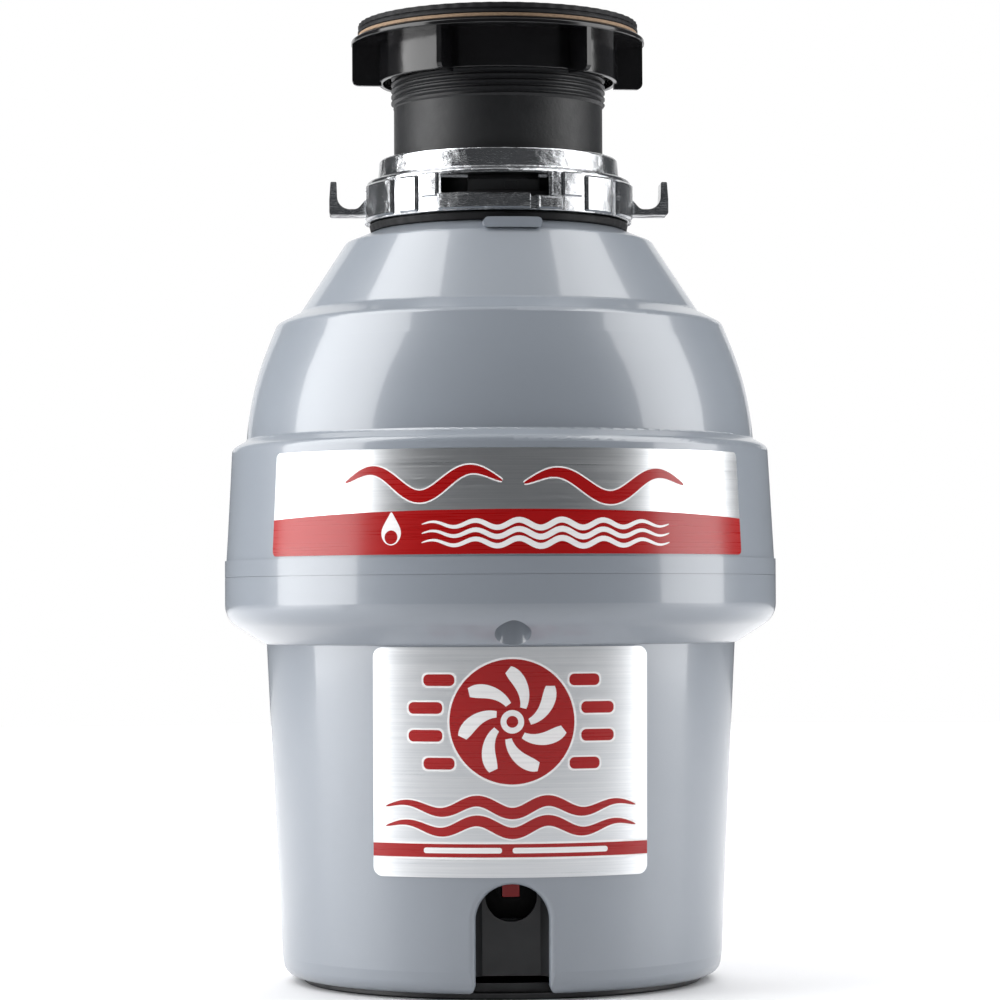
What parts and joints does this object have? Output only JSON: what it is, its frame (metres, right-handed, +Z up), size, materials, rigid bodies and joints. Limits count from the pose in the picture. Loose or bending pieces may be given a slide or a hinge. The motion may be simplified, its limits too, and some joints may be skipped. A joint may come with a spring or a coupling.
{
  "type": "kitchen garbage disposal",
  "caption": "Round under-sink food waste grinder with a two-part grey case, bayonet mounting ring, threaded sink sleeve, ring nut and gaskets, and a grinding chamber and motor inside.",
  "frame": {"origin": "centre of the base plate's underside", "axes": "+Z up along the motor axis towards the sink, -Y out of the front with the reset notch, +Y out of the back with the outlet"},
  "size_m": [0.2196, 0.2738, 0.3812],
  "materials": {
    "case": "glossy moulded light blue-grey",
    "black_moulding": "matte moulded black",
    "nut_moulding": "glossy moulded black",
    "rubber": "matte black rubber",
    "cast_metal": "polished die casting",
    "stainless": "satin stainless",
    "steel": "zinc plated",
    "lamination": "dark laminated iron",
    "copper": "enamelled copper",
    "carbon": "pressed carbon",
    "foil": "brushed foil with red print",
    "button_red": "red moulding",
    "fiber": "pressed brown fibre",
    "foam": "grey open foam"
  },
  "bodies": {
    "root": {"band_label": "foil", "base_plate": "black_moulding", "base_screws": "steel", "brush_holders": "black_moulding", "brush_springs": "steel", "cable_gland": "black_moulding", "carbon_brushes": "carbon", "cushion": "rubber", "discharge_elbow": "black_moulding", "discharge_flange": "steel", "discharge_gasket": "rubber", "discharge_screws": "steel", "drain_housing": "black_moulding", "flange_sleeve": "black_moulding", "front_label": "foil", "grind_ring": "stainless", "hopper": "black_moulding", "hopper_gasket": "rubber", "hopper_neck": "black_moulding", "hopper_screws": "steel", "inlet_knockout": "black_moulding", "lower_bearing": "steel", "lower_end_bell": "cast_metal", "lower_insulation": "foam", "lower_shell": "case", "magnets": "lamination", "motor_can": "steel", "outlet_spout": "black_moulding", "overload_protector": "black_moulding", "rectifier": "black_moulding", "reset_panel": "black_moulding", "shaft_seal": "rubber", "shell_screws": "steel", "sink_flange": "stainless", "sink_gasket": "rubber", "throat_seal": "rubber", "through_bolts": "steel", "upper_bearing": "steel", "upper_end_bell": "cast_metal", "upper_insulation": "foam", "upper_shell": "case"},
    "rotor": {"shaft": "steel", "turntable": "stainless", "turntable_nut": "stainless", "armature_core": "lamination", "windings": "copper", "commutator": "copper", "slinger": "rubber", "impeller_rivets": "stainless"},
    "impeller_1": {"impeller_1": "stainless"},
    "impeller_2": {"impeller_2": "stainless"},
    "reset_button": {"reset_button": "button_red"},
    "mount_ring": {"mount_ring": "cast_metal"},
    "fiber_gasket": {"fiber_gasket": "fiber"},
    "mount_nut": {"mount_nut": "nut_moulding"},
    "splash_guard": {"splash_guard": "rubber"}
  },
  "joints": [
    {"name": "rotor_spin", "type": "hinge", "parent": "root", "child": "rotor", "pos_m": [0, 0, 0.1], "axis": [0, 0, 1], "continuous": true},
    {"name": "impeller_1_swivel", "type": "hinge", "parent": "rotor", "child": "impeller_1", "pos_m": [0.047, 0, 0.192], "axis": [0, 0, 1], "continuous": true},
    {"name": "impeller_2_swivel", "type": "hinge", "parent": "rotor", "child": "impeller_2", "pos_m": [-0.047, 0, 0.192], "axis": [0, 0, 1], "continuous": true},
    {"name": "reset_button_travel", "type": "slide", "parent": "root", "child": "reset_button", "axis": [0, -1, 0], "range_m": [0, 0.003]},
    {"name": "mount_ring_turn", "type": "hinge", "parent": "root", "child": "mount_ring", "pos_m": [0, 0, 0.313], "axis": [0, 0, 1], "range_deg": [0, 45]},
    {"name": "gasket_travel", "type": "slide", "parent": "root", "child": "fiber_gasket", "axis": [0, 0, -1], "range_m": [0, 0.0101]},
    {"name": "nut_turn", "type": "hinge", "parent": "fiber_gasket", "child": "mount_nut", "pos_m": [0, 0, 0.366], "axis": [0, 0, -1], "range_deg": [0, 1440]},
    {"name": "splash_guard_lift", "type": "slide", "parent": "root", "child": "splash_guard", "axis": [0, 0, 1], "range_m": [0, 0.06]}
  ],
  "couplings": [
    {"joint": "gasket_travel", "follows": "nut_turn", "m_per_rad": 0.00039789}
  ]
}
